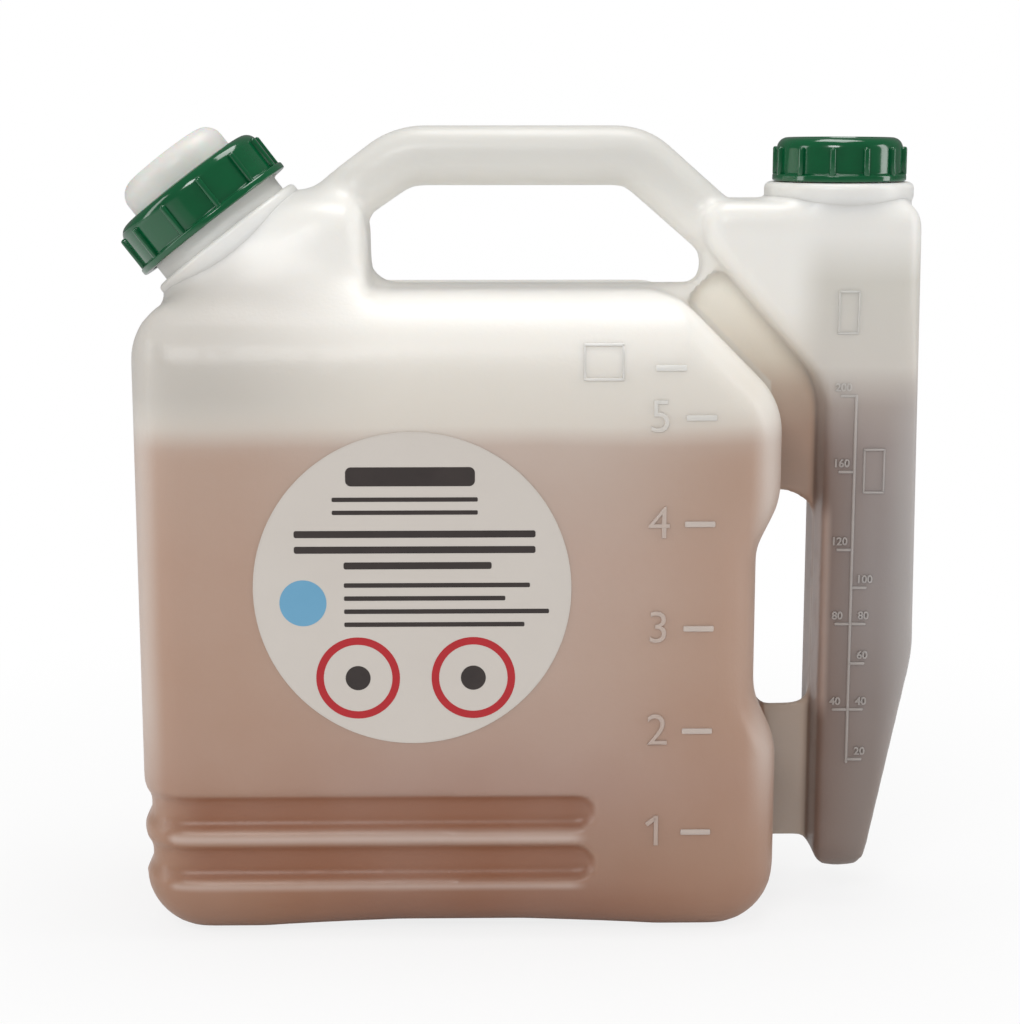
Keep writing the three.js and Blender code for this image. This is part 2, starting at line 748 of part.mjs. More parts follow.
function mesh(name, piece, material) {
  const { vertProperties, triVerts } = piece.getMesh();
  const geometry = new THREE.BufferGeometry();
  geometry.setAttribute('position', new THREE.BufferAttribute(vertProperties, 3));
  geometry.setIndex(new THREE.BufferAttribute(triVerts, 1));
  geometry.computeVertexNormals();
  const part = new THREE.Mesh(geometry, material);
  part.name = name;
  return part;
}

// Pieces on the slanted neck share its frame
const closure = new THREE.Group();
closure.applyMatrix4(neckFrame);
closure.add(
  mesh('screw_ring', screwRing(), greenPlastic),
  mesh('sealing_plug', sealingPlug(), whitePlastic),
  mesh('plug_gasket', plugGasket(), sealRubber),
);

const oilClosure = new THREE.Group();
oilClosure.position.x = oilNeckX;
oilClosure.add(
  mesh('oil_cap', oilCap(), greenPlastic),
  mesh('oil_cap_liner', oilCapLiner(), linerFoam),
);

const canister = new THREE.Group();
canister.add(
  mesh('canister_body', canisterBody(), naturalPlastic),
  mesh('label', label(), labelPaper),
  mesh('fuel', filling(tankForm(wall + fitGap), tankHeight - fuelDrop), fuelColour),
  mesh('oil', filling(chamberForm(wall + fitGap), chamberTop - oilDrop), oilColour),
  closure,
  oilClosure,
);

// The origin lies under the middle of the whole outline
const extent = new THREE.Box3().setFromObject(canister, true);
canister.position.x = -(extent.min.x + extent.max.x) / 2;

const model = new THREE.Group();
model.add(canister);

export default model;
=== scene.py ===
# Fuel mixing canister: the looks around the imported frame.
# Metres everywhere; sizes in the dictionaries are millimetres in the tank's own coordinates,
# with x = 0 in the middle of the tank, and shiftX brings them to the frame.
import bpy
import bmesh
import json
import math
from mathutils import Matrix, Vector

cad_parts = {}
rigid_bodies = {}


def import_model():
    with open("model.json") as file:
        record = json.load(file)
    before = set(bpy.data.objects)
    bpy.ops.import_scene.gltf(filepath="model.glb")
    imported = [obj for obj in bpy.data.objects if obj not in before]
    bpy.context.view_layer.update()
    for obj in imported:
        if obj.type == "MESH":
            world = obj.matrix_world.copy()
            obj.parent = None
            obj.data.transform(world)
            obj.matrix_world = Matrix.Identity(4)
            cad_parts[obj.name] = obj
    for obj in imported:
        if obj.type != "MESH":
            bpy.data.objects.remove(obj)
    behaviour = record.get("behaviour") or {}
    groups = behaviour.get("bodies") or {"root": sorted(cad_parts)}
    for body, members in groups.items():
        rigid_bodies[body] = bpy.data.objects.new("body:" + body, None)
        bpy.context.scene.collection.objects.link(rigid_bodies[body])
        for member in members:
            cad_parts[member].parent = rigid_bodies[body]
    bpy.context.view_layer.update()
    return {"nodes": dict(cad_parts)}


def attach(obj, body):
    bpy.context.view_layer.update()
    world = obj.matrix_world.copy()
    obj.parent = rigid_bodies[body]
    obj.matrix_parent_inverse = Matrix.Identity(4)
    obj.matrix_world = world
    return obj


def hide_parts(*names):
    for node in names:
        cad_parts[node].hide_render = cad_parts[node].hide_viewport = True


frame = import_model()

mm = 0.001
shiftX = -23.8
sharpAngle = math.radians(38)
print("frame loaded")


def srgb(red, green, blue):
    def linear(value):
        value /= 255
        return value / 12.92 if value <= 0.04045 else ((value + 0.055) / 1.055) ** 2.4
    return (linear(red), linear(green), linear(blue), 1)


def roundedLoop(bm, corners):
    # corners are (across, up, radius) in the XZ plane; each gets a bevelled arc
    verts = [bm.verts.new((c[0], 0, c[1])) for c in corners]
    face = bm.faces.new(verts)
    count = len(corners)
    for i, corner in enumerate(corners):
        radius = corner[2] if len(corner) > 2 else 0
        if not radius:
            continue
        here = Vector(corner[:2])
        toLast = (Vector(corners[i - 1][:2]) - here).normalized()
        toNext = (Vector(corners[(i + 1) % count][:2]) - here).normalized()
        turn = math.pi - toLast.angle(toNext)
        bmesh.ops.bevel(bm, geom=[verts[i]], offset=radius * math.tan(turn / 2), offset_type="OFFSET",
                        segments=max(3, round(turn / math.radians(9))), profile=0.5,
                        affect="VERTICES", material=-1, clamp_overlap=False)
    return face


def slabForm(corners, depth, edgeRadius=0, hole=None):
    # an outline in the front view, given depth along Y and rounded front and back edges
    bm = bmesh.new()
    roundedLoop(bm, corners)
    if hole:
        roundedLoop(bm, hole)
    bmesh.ops.delete(bm, geom=bm.faces[:], context="FACES_ONLY")
    bmesh.ops.triangle_fill(bm, edges=bm.edges[:], use_beauty=True, normal=(0, -1, 0))
    bmesh.ops.translate(bm, verts=bm.verts, vec=(0, -depth / 2, 0))
    grown = bmesh.ops.extrude_face_region(bm, geom=bm.faces[:])
    backVerts = [v for v in grown["geom"] if isinstance(v, bmesh.types.BMVert)]
    bmesh.ops.translate(bm, verts=backVerts, vec=(0, depth, 0))
    bmesh.ops.recalc_face_normals(bm, faces=bm.faces)
    if edgeRadius:
        rim = [e for e in bm.edges if len(e.link_faces) == 2 and e.calc_face_angle() > 1.2
               and abs(e.verts[0].co.y - e.verts[1].co.y) < 1e-4]
        bmesh.ops.bevel(bm, geom=rim, offset=edgeRadius, offset_type="OFFSET", segments=5,
                        profile=0.5, affect="EDGES", material=-1, clamp_overlap=False)
    return bm


def turnedForm(corners, steps=96):
    # a profile (radius, height, rounding) spun about Z
    bm = bmesh.new()
    roundedLoop(bm, corners)
    bmesh.ops.delete(bm, geom=bm.faces[:], context="FACES_ONLY")
    onAxis = [e for e in bm.edges if all(abs(v.co.x) < 1e-5 for v in e.verts)]
    bmesh.ops.delete(bm, geom=onAxis, context="EDGES")
    bmesh.ops.spin(bm, geom=bm.verts[:] + bm.edges[:], cent=(0, 0, 0), axis=(0, 0, 1),
                   angle=2 * math.pi, steps=steps, use_merge=True)
    bmesh.ops.remove_doubles(bm, verts=bm.verts, dist=1e-3)
    bmesh.ops.recalc_face_normals(bm, faces=bm.faces)
    return bm


def sideForm(corners, fromX, toX):
    # an outline (y, z) seen from the side, given length along X
    bm = slabForm(corners, toX - fromX)
    bmesh.ops.rotate(bm, verts=bm.verts, cent=(0, 0, 0), matrix=Matrix.Rotation(math.pi / 2, 3, "Z"))
    bmesh.ops.translate(bm, verts=bm.verts, vec=((fromX + toX) / 2, 0, 0))
    return bm


def boxForm(size, centre, edgeRadius=0, segments=2):
    bm = bmesh.new()
    bmesh.ops.create_cube(bm, size=1)
    bmesh.ops.scale(bm, verts=bm.verts, vec=size)
    if edgeRadius:
        bmesh.ops.bevel(bm, geom=bm.edges[:], offset=edgeRadius, offset_type="OFFSET", segments=segments,
                        profile=0.5, affect="EDGES", material=-1)
    bmesh.ops.translate(bm, verts=bm.verts, vec=centre)
    return bm


def asObject(bm, name):
    mesh = bpy.data.meshes.new(name)
    bm.to_mesh(mesh)
    bm.free()
    obj = bpy.data.objects.new(name, mesh)
    bpy.context.scene.collection.objects.link(obj)
    return obj


def applied(obj):
    # the shape with its modifiers applied, as a fresh bmesh; the object goes
    graph = bpy.context.evaluated_depsgraph_get()
    mesh = bpy.data.meshes.new_from_object(obj.evaluated_get(graph))
    bm = bmesh.new()
    bm.from_mesh(mesh)
    bpy.data.meshes.remove(mesh)
    bpy.data.batch_remove([obj, obj.data])
    return bm


def cutWith(bm, tool, operation):
    # boolean of two closed bmeshes
    base = asObject(bm, "base")
    other = asObject(tool, "tool")
    change = base.modifiers.new("cut", "BOOLEAN")
    change.operation = operation
    change.solver = "EXACT"
    change.object = other
    result = applied(base)
    bpy.data.batch_remove([other, other.data])
    return result


def merged(parts):
    # several bmeshes in one, overlapping where they meet
    whole = bmesh.new()
    for part in parts:
        mesh = bpy.data.meshes.new("part")
        part.to_mesh(mesh)
        part.free()
        whole.from_mesh(mesh)
        bpy.data.meshes.remove(mesh)
    return whole


def moved(bm, vec=(0, 0, 0), turn=None):
    if turn is not None:
        bmesh.ops.transform(bm, matrix=turn, verts=bm.verts)
    bmesh.ops.translate(bm, verts=bm.verts, vec=vec)
    return bm


def painted(bm, index):
    for face in bm.faces:
        face.material_index = index
    return bm


def piece(bm, name, body, materials, replaces):
    bmesh.ops.translate(bm, verts=bm.verts, vec=(shiftX, 0, 0))
    bmesh.ops.scale(bm, verts=bm.verts, vec=(mm, mm, mm))
    for face in bm.faces:
        face.smooth = True
    obj = asObject(bm, name)
    for material in materials:
        obj.data.materials.append(material)
    obj.data.set_sharp_from_angle(angle=sharpAngle)
    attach(obj, body)
    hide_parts(replaces)
    print("piece", name, len(obj.data.polygons), "faces")


def node(tree, kind, place=(0, 0), **values):
    made = tree.nodes.new(kind)
    made.location = place
    for key, value in values.items():
        setattr(made, key, value)
    return made


def setRamp(ramp, stops):
    elements = ramp.color_ramp.elements
    while len(elements) > 1:
        elements.remove(elements[-1])
    elements[0].position, elements[0].color = stops[0]
    for position, colour in stops[1:]:
        elements.new(position).color = colour


def calc(tree, operation, first, second=None, clamp=False):
    made = tree.nodes.new("ShaderNodeMath")
    made.operation = operation
    made.use_clamp = clamp
    for socket, value in zip(made.inputs, (first, second)):
        if value is None:
            continue
        if isinstance(value, (int, float)):
            socket.default_value = value
        else:
            tree.links.new(value, socket)
    return made.outputs[0]


def between(tree, value, low, high, soft):
    # 1 where value lies between low and high, fading over soft
    rise = tree.nodes.new("ShaderNodeMapRange")
    rise.interpolation_type = "SMOOTHSTEP"
    rise.inputs["From Min"].default_value = low - soft
    rise.inputs["From Max"].default_value = low + soft
    tree.links.new(value, rise.inputs["Value"])
    fall = tree.nodes.new("ShaderNodeMapRange")
    fall.interpolation_type = "SMOOTHSTEP"
    fall.inputs["From Min"].default_value = high - soft
    fall.inputs["From Max"].default_value = high + soft
    fall.inputs["To Min"].default_value = 1
    fall.inputs["To Max"].default_value = 0
    tree.links.new(value, fall.inputs["Value"])
    return calc(tree, "MULTIPLY", rise.outputs[0], fall.outputs[0])


def mixColour(tree, factor, first, second):
    mix = tree.nodes.new("ShaderNodeMix")
    mix.data_type = "RGBA"
    for socket, value in ((mix.inputs[0], factor), (mix.inputs[6], first), (mix.inputs[7], second)):
        if isinstance(value, (int, float, tuple)):
            socket.default_value = value
        else:
            tree.links.new(value, socket)
    return mix.outputs[2]


rubMarks = {"size": 60, "detail": 6, "distortion": 1.5, "from": 0.52, "to": 0.72}


def makeMouldedSkin():
    # skin of moulded plastic: slow waves, fine grain, faint rubbed marks
    group = bpy.data.node_groups.new("mouldedSkin", "ShaderNodeTree")
    face = group.interface
    for name in ("Wave Size", "Grain Size", "Grain", "Roughness", "Rub"):
        face.new_socket(name=name, in_out="INPUT", socket_type="NodeSocketFloat")
    for name in ("Height", "Roughness", "Mottle"):
        face.new_socket(name=name, in_out="OUTPUT", socket_type="NodeSocketFloat")
    inside = node(group, "NodeGroupInput")
    out = node(group, "NodeGroupOutput")
    spot = node(group, "ShaderNodeTexCoord")
    waves = node(group, "ShaderNodeTexNoise")
    waves.inputs["Detail"].default_value = 2
    grain = node(group, "ShaderNodeTexNoise")
    grain.inputs["Detail"].default_value = 3
    rubs = node(group, "ShaderNodeTexNoise")
    rubs.inputs["Scale"].default_value = rubMarks["size"]
    rubs.inputs["Detail"].default_value = rubMarks["detail"]
    rubs.inputs["Distortion"].default_value = rubMarks["distortion"]
    for texture in (waves, grain, rubs):
        group.links.new(spot.outputs["Object"], texture.inputs["Vector"])
    group.links.new(inside.outputs["Wave Size"], waves.inputs["Scale"])
    group.links.new(inside.outputs["Grain Size"], grain.inputs["Scale"])
    fine = calc(group, "MULTIPLY", grain.outputs["Fac"], inside.outputs["Grain"])
    height = calc(group, "ADD", waves.outputs["Fac"], fine)
    rubbed = node(group, "ShaderNodeMapRange")
    rubbed.inputs["From Min"].default_value = rubMarks["from"]
    rubbed.inputs["From Max"].default_value = rubMarks["to"]
    group.links.new(rubs.outputs["Fac"], rubbed.inputs["Value"])
    rise = calc(group, "MULTIPLY", rubbed.outputs[0], inside.outputs["Rub"])
    rough = calc(group, "ADD", inside.outputs["Roughness"], rise)
    group.links.new(height, out.inputs["Height"])
    group.links.new(rough, out.inputs["Roughness"])
    group.links.new(waves.outputs["Fac"], out.inputs["Mottle"])
    return group


contentsAndPaintedLight = {
    "tall": 303, "cloudSize": 14, "cloudDrift": 0.004,
    # height in millimetres and the colour that shows through the wall there: darker towards the bottom, and
    # above the liquid painted light, paler across the shoulders and the chamber's head and darker towards the
    # handle's top
    "tankTint": [(0, (134, 80, 48)), (16, (141, 89, 58)), (34, (152, 110, 85)), (60, (166, 131, 115)),
                 (78, (176, 145, 129)), (105, (184, 156, 140)), (146, (187, 160, 145)),
                 (170, (189, 166, 152)), (188, (194, 174, 161)), (195.5, (221, 213, 202)),
                 (212, (229, 223, 213)), (235, (242, 239, 233)), (262, (242, 240, 235)),
                 (282, (225, 223, 217)), (303, (212, 210, 204))],
    "chamberTint": [(0, (124, 108, 99)), (60, (126, 111, 104)), (137, (138, 127, 124)),
                    (160, (142, 130, 126)), (183, (149, 135, 130)), (198, (167, 154, 147)),
                    (206, (190, 181, 173)), (213, (210, 204, 196)), (245, (209, 205, 196)),
                    (262, (236, 234, 229)), (303, (238, 236, 231))],
    # the web ramp is painted shade of the recess between tank and chamber, with painted light at its top
    "webTint": [(0, (204, 190, 176)), (110, (202, 184, 168)), (150, (192, 164, 145)),
                (186, (196, 166, 146)), (203, (208, 187, 168)), (214, (228, 218, 202)),
                (240, (244, 240, 230)), (303, (240, 237, 229))],
    # the groove and junction tones are painted shade, the ridge tone a painted highlight
    "warm": (166, 121, 90), "grooveShade": (142, 82, 42), "ridge": (202, 180, 169), "junctionShade": (108, 80, 66),
    # the clear tone also makes a painted rim light on the rounded edges, and the thick tone is painted shade
    # under the tower
    "clear": (240, 237, 231), "chamberFar": (186, 182, 180), "thick": (184, 178, 170),
    # the last tone is a painted glow on the web's clear upper end
    "paintedGlow": (250, 244, 236),
}


zones = {
    # axis, low, high and how softly it ends, in metres in the frame; a last True means outside of it
    "fuelHeight": ("up", -1, 0.192, 0.012), "tankSides": ("across", -0.075, 0.045, 0.035, True),
    "oilHeight": ("up", -1, 0.203, 0.012), "oilCore": ("up", -1, 0.184, 0.022),
    "column": ("across", 0.1065, 0.4, 0.008), "columnLeft": ("across", -1, 0.124, 0.012),
    "columnRight": ("across", 0.143, 1, 0.008), "columnEdge": ("across", 0.09, 0.1172, 0.0015),
    "windowHeight": ("up", 0.08, 0.158, 0.006),
    "pastSlope": ("diagonal", 0.3015, 1, 0.001), "pastSide": ("across", 0.0965, 1, 0.0006),
    "webWidth": ("across", 0.05, 0.1145, 0.0015), "webThickness": ("depth", -1, 0.0036, 0.0012),
    "webHeight": ("up", -1, 0.25, 0.01), "webClear": ("up", 0.214, 1, 0.02),
    "grooveLength": ("across", -0.128, 0.0275, 0.012), "grooveRows": ("up", 0.0228, 0.0572, 0.0014),
    "grooveDepth": ("depth", 0.046, 0.0552, 0.001),
    "upperCrest": ("up", 0.0385, 0.0415, 0.0016), "lowerCrest": ("up", 0.0205, 0.0222, 0.0016),
    "crestLength": ("across", -0.2, 0.021, 0.004), "crestDepth": ("depth", 0.0545, 1, 0.001),
    "edgeInside": ("depth", 0.042, 1, 0.012), "edgeOutside": ("depth", -1, 0.0564, 0.0012),
    "tankEnds": ("across", -0.137, 0.0868, 0.005, True), "aboveFoot": ("up", 0.062, 1, 0.03),
    "tankWidth": ("across", -1, 0.1, 0.002),
    # the tower zones place painted shade on the tower's upper left
    "towerShadeSide": ("across", -1, -0.08, 0.04), "towerShadeHeight": ("up", 0.196, 0.249, 0.012),
}
layers = {
    # colour, how much of it, and the zones that it fills together
    # the fuel looks warmer towards the tank's sides
    "tank": [("warm", 0.5, ["tankSides", "fuelHeight"])],
    # painted shade darkens the oil's colour where the web joins the chamber, and the chamber pales away from
    # there
    "column": [("junctionShade", 0.95, ["columnLeft", "oilCore"]),
               ("chamberFar", 0.6, ["columnRight", "oilHeight"]),
               # a painted highlight lightens the chamber's edge beside the web's window
               ("ridge", 0.55, ["columnEdge", "windowHeight"])],
    # the grooves get painted shade, and the ridges between them a painted highlight;
    # little liquid stands behind the rounded edges, which a painted rim light also pales, and the left under
    # the tower gets painted shade
    "whole": [("grooveShade", 0.95, ["grooveDepth", "grooveRows", "grooveLength"]),
              ("ridge", 0.7, ["upperCrest", "crestLength", "crestDepth"]),
              ("ridge", 0.7, ["lowerCrest", "crestLength", "crestDepth"]),
              ("clear", 0.4, ["edgeInside", "edgeOutside", "tankEnds", "aboveFoot", "tankWidth"]),
              ("thick", 0.75, ["towerShadeSide", "towerShadeHeight"])],
}


def makeContentsTint():
    # the colour of the see-through wall, from what stands behind it, with painted light and shade laid over
    # it
    group = bpy.data.node_groups.new("tintWithPaintedLight", "ShaderNodeTree")
    face = group.interface
    face.new_socket(name="Clearness", in_out="INPUT", socket_type="NodeSocketFloat").default_value = 1
    face.new_socket(name="Color", in_out="OUTPUT", socket_type="NodeSocketColor")
    face.new_socket(name="Glow", in_out="OUTPUT", socket_type="NodeSocketColor")
    inside = node(group, "NodeGroupInput")
    out = node(group, "NodeGroupOutput")
    spot = node(group, "ShaderNodeTexCoord")
    parts = node(group, "ShaderNodeSeparateXYZ")
    group.links.new(spot.outputs["Object"], parts.inputs[0])
    cloud = node(group, "ShaderNodeTexNoise")
    cloud.inputs["Scale"].default_value = contentsAndPaintedLight["cloudSize"]
    cloud.inputs["Detail"].default_value = 1
    group.links.new(spot.outputs["Object"], cloud.inputs["Vector"])
    drift = calc(group, "SUBTRACT", cloud.outputs["Fac"], 0.5)
    drift = calc(group, "MULTIPLY", drift, contentsAndPaintedLight["cloudDrift"])
    height = calc(group, "ADD", parts.outputs["Z"], drift)
    share = calc(group, "DIVIDE", height, contentsAndPaintedLight["tall"] * mm, True)
    tints = []
    for name in ("tankTint", "chamberTint", "webTint"):
        ramp = node(group, "ShaderNodeValToRGB")
        setRamp(ramp, [(z / contentsAndPaintedLight["tall"], srgb(*colour)) for z, colour in contentsAndPaintedLight[name]])
        group.links.new(share, ramp.inputs["Fac"])
        tints.append(ramp.outputs["Color"])
    axes = {"across": parts.outputs["X"], "up": parts.outputs["Z"],
            "depth": calc(group, "ABSOLUTE", parts.outputs["Y"]),
            "diagonal": calc(group, "ADD", parts.outputs["X"], parts.outputs["Z"])}

    def zone(name):
        axis, low, high, soft, *outside = zones[name]
        share = between(group, axes[axis], low, high, soft)
        return calc(group, "SUBTRACT", 1, share) if outside else share

    def layered(colour, layer):
        for name, amount, places in layers[layer]:
            share = zone(places[0])
            for place in places[1:]:
                share = calc(group, "MULTIPLY", share, zone(place))
            colour = mixColour(group, calc(group, "MULTIPLY", share, amount), colour, srgb(*contentsAndPaintedLight[name]))
        return colour

    colour = mixColour(group, zone("column"), layered(tints[0], "tank"), layered(tints[1], "column"))
    # the thin webs carry painted shade of the recess between tank and chamber, browner half way up, and
    # painted light at their top
    web = calc(group, "MAXIMUM", zone("pastSlope"), zone("pastSide"))
    for name in ("webWidth", "webThickness", "webHeight"):
        web = calc(group, "MULTIPLY", web, zone(name))
    colour = layered(mixColour(group, web, colour, tints[2]), "whole")
    colour = mixColour(group, inside.outputs["Clearness"], srgb(*contentsAndPaintedLight["clear"]), colour)
    group.links.new(colour, out.inputs["Color"])
    # a painted glow on the thin web at its clear upper end stands in for daylight coming through it
    glow = calc(group, "MULTIPLY", web, zone("webClear"))
    group.links.new(mixColour(group, glow, (0, 0, 0, 1), srgb(*contentsAndPaintedLight["paintedGlow"])), out.inputs["Glow"])
    return group


mouldedSkin = makeMouldedSkin()
tintWithPaintedLight = makeContentsTint()


def plasticMaterial(name, tones, waveSize, grainSize, grain, roughness, rub, bump, **more):
    # two close tones in slow patches on the moulded skin
    material = bpy.data.materials.new(name)
    material.use_nodes = True
    tree = material.node_tree
    shader = tree.nodes["Principled BSDF"]
    skin = node(tree, "ShaderNodeGroup", (-600, 0))
    skin.node_tree = mouldedSkin
    for key, value in (("Wave Size", waveSize), ("Grain Size", grainSize), ("Grain", grain),
                       ("Roughness", roughness), ("Rub", rub)):
        skin.inputs[key].default_value = value
    relief = node(tree, "ShaderNodeBump", (-300, -300))
    relief.inputs["Strength"].default_value = 1
    relief.inputs["Distance"].default_value = bump
    tree.links.new(skin.outputs["Height"], relief.inputs["Height"])
    tree.links.new(relief.outputs["Normal"], shader.inputs["Normal"])
    tree.links.new(skin.outputs["Roughness"], shader.inputs["Roughness"])
    if tones:
        patches = mixColour(tree, skin.outputs["Mottle"], srgb(*tones[0]), srgb(*tones[1]))
        tree.links.new(patches, shader.inputs["Base Color"])
    for key, value in more.items():
        shader.inputs[key.replace("_", " ")].default_value = value
    return material


plastics = {
    # two tones, wave size, grain size, grain, roughness, rub and bump in metres
    "naturalPlastic": (None, 16, 700, 0.05, 0.36, 0.08, 0.0012),
    "greenCapPlastic": (((2, 76, 42), (5, 90, 52)), 60, 1200, 0.12, 0.14, 0.1, 0.0001),
    "plugPlastic": (((218, 216, 210), (227, 225, 220)), 50, 900, 0.2, 0.38, 0.1, 0.0003),
    "gasketRubber": (((38, 38, 38), (52, 51, 50)), 90, 1600, 0.5, 0.7, 0.1, 0.0002),
    "linerFoam": (((228, 225, 217), (240, 238, 232)), 200, 2600, 0.9, 0.8, 0.1, 0.0003),
    "labelFilm": (((208, 200, 192), (214, 207, 199)), 30, 1500, 0.12, 0.42, 0.12, 0.0003),
    "inkBlack": (((44, 36, 34), (58, 48, 45)), 80, 1500, 0.1, 0.45, 0.15, 0.0001),
    "inkBlue": (((104, 164, 198), (112, 170, 204)), 80, 1500, 0.1, 0.42, 0.15, 0.0001),
    "inkRed": (((176, 20, 32), (188, 28, 38)), 80, 1500, 0.1, 0.42, 0.15, 0.0001),
    "fuelLiquid": (((160, 104, 84), (168, 112, 90)), 12, 300, 0.05, 0.08, 0.02, 0.0001),
    "oilLiquid": (((96, 76, 74), (104, 84, 80)), 12, 300, 0.05, 0.08, 0.02, 0.0001),
}
greenPlastic = plasticMaterial("greenCapPlastic", *plastics["greenCapPlastic"], Coat_Weight=0.5,
                               Coat_Roughness=0.06)
plugPlastic = plasticMaterial("plugPlastic", *plastics["plugPlastic"], Subsurface_Weight=0.4,
                              Subsurface_Scale=0.004)
gasketRubber, linerFoam, labelFilm, inkBlack, inkBlue, inkRed, fuelLiquid, oilLiquid = [
    plasticMaterial(name, *plastics[name]) for name in (
        "gasketRubber", "linerFoam", "labelFilm", "inkBlack", "inkBlue", "inkRed", "fuelLiquid", "oilLiquid")]

wall = {
    # how much of the milky tone lies over the tint, how strong the web's painted glow is, and what light does
    # inside the wall
    "milk": (250, 248, 244), "milkShare": 0.12, "glow": 0.1,
    "seamHalf": 0.0004, "seamSoft": 0.00025, "seamRelief": 0.12,
    "scatter": 0.25, "scatterColour": (1, 0.85, 0.7), "scatterDepth": 0.006, "bend": 1.5,
    "sheen": 0.12, "sheenRoughness": 0.4,
    # raised marks show less of the contents than the thin wall does
    "clearness": {"naturalPlastic": 1, "thickNaturalPlastic": 0.78, "markNaturalPlastic": 0.62},
}


def wallMaterial(name):
    material = plasticMaterial(name, *plastics["naturalPlastic"], IOR=wall["bend"],
                               Emission_Strength=wall["glow"],
                               Subsurface_Weight=wall["scatter"], Subsurface_Radius=wall["scatterColour"],
                               Subsurface_Scale=wall["scatterDepth"],
                               Sheen_Weight=wall["sheen"], Sheen_Roughness=wall["sheenRoughness"])
    tree = material.node_tree
    shader = tree.nodes["Principled BSDF"]
    skin = next(n for n in tree.nodes if n.type == "GROUP")
    relief = next(n for n in tree.nodes if n.type == "BUMP")
    tint = node(tree, "ShaderNodeGroup", (-600, 300))
    tint.node_tree = tintWithPaintedLight
    tint.inputs["Clearness"].default_value = wall["clearness"][name]
    share = calc(tree, "MULTIPLY", skin.outputs["Mottle"], wall["milkShare"])
    tree.links.new(mixColour(tree, share, tint.outputs["Color"], srgb(*wall["milk"])),
                   shader.inputs["Base Color"])
    tree.links.new(tint.outputs["Glow"], shader.inputs["Emission Color"])
    # faint parting line in the middle plane
    spot = node(tree, "ShaderNodeTexCoord", (-900, -400))
    parts = node(tree, "ShaderNodeSeparateXYZ", (-750, -400))
    tree.links.new(spot.outputs["Object"], parts.inputs[0])
    depth = calc(tree, "ABSOLUTE", parts.outputs["Y"])
    seam = calc(tree, "MULTIPLY", between(tree, depth, -1, wall["seamHalf"], wall["seamSoft"]),
                wall["seamRelief"])
    tree.links.new(calc(tree, "ADD", skin.outputs["Height"], seam), relief.inputs["Height"])
    return material


naturalPlastic, thickPlastic, markPlastic = [wallMaterial(name) for name in wall["clearness"]]
print("materials ready")


tank = {
    "depth": 114, "edge": 20,
    "outline": [(-120, 0, 24), (-74, 0), (0, 5.4, 900), (74, 0), (120, 0, 24), (120, 73, 22), (111.3, 91, 22),
                (111.3, 147, 11), (120, 165, 22), (120, 202, 24), (80, 242, 24), (-103.9, 242, 21),
                (-120, 229.7, 21)],
    "shoulders": [(-57, -1), (57, -1), (57, 242, 30), (-57, 242, 30)], "length": (-125, 125),
    "grooveHeights": [30.2, 49.8], "grooveHalf": 6.3, "grooveEnd": 50.5,
    # the grooves stop at this core: its left side, half depth, corner radius and height
    "grooveCore": (-117.2, 52.5, 15.5, 60), "past": 130,
}
neck = {
    "centre": (-92.3, 266.3), "tilt": 37.5, "beadTop": -6.2, "beadBottom": -12.2,
    "bead": 32.2, "radius": 28, "bore": 25.6, "rim": 12.3, "threadPitch": 5, "threadRise": 1.3,
}
tower = {
    "outline": [(-120, 200), (-34, 200), (-34, 277.7, 14), (-58.7, 276.7), (-120, 229.7, 22)],
    "depth": 66, "edge": 13,
    "flare": [(0, -12.2), (33, -12.2), (36, -26.2), (42, -40.2), (51, -56.2), (60, -72.2), (68, -96.2),
              (0, -96.2)],
}
handle = {
    "depth": 28, "edge": 10,
    "outline": [(-60.1, 221), (117.6, 221), (117.6, 261.6), (71.3, 302.2, 26), (-24.4, 302.2, 30),
                (-60.1, 275.6)],
    "gap": [(-34.5, 243, 11), (92.3, 243, 5), (92.3, 254.5, 3), (62.9, 279.9, 6), (-17.3, 279.9, 9),
            (-34.5, 268.1, 4)],
    # the plate is kept only here, clear of the tank
    "shown": [(-120, 234), (83.8, 234), (117.6, 267.8), (117.6, 303.3), (-120, 303.3)], "shownDepth": 60,
}
chamber = {
    "depth": 54, "edge": 8,
    "outline": [(138.4, 12.8, 10), (157.3, 12.8, 9), (174.9, 101.6, 40), (173, 274.6, 8.5),
                (91.8, 274.6, 8.5), (91.8, 258.9, 14), (138.4, 204.8, 25)],
    "side": [(-23.5, 12.8, 14), (23.5, 12.8, 14), (23.5, 196.8, 40), (27, 234.8, 40), (27, 276),
             (-27, 276), (-27, 234.8, 40), (-23.5, 196.8, 40)],
    "length": (85, 180), "neckX": 144.8,
    "pedestal": [(0, 234.6), (22.3, 234.6), (25.8, 256.6), (27.6, 273), (27.6, 278.5, 3), (0, 278.5)],
    "collar": [(0, 271), (26.2, 271), (28.2, 275.6, 3), (28.2, 281.2, 2.4), (0, 281.2)],
    "neckRadius": 20.3, "neckBore": 18, "neckLow": 272, "neckFloor": 281.6, "neckRim": 294,
    "threadPitch": 4, "threadRise": 1.2, "threadStart": 283,
}
web = {
    "thickness": 4.4,
    "outline": [(100, 21.4), (144.4, 21.4), (144.4, 222.8), (97.8, 255.9), (86, 230), (100, 202)],
    "window": [(113.5, 76.2, 9), (138.9, 76.2, 9), (138.9, 161.8, 13), (113.5, 161.8, 2)],
}
skinFinish = {
    "voxel": 1.9, "smoothings": 4, "smoothing": 0.5,
    # left, right, low and high of a place, and how many more times it is smoothed
    "softPlaces": [((-115, -33, 220, 286), 12), ((-111, -37, 226, 284), 20), ((-106, -42, 232, 282), 30),
                   ((121, 166, 234, 274), 24)],
}
neckPlace = Matrix.Translation((neck["centre"][0], 0, neck["centre"][1]))
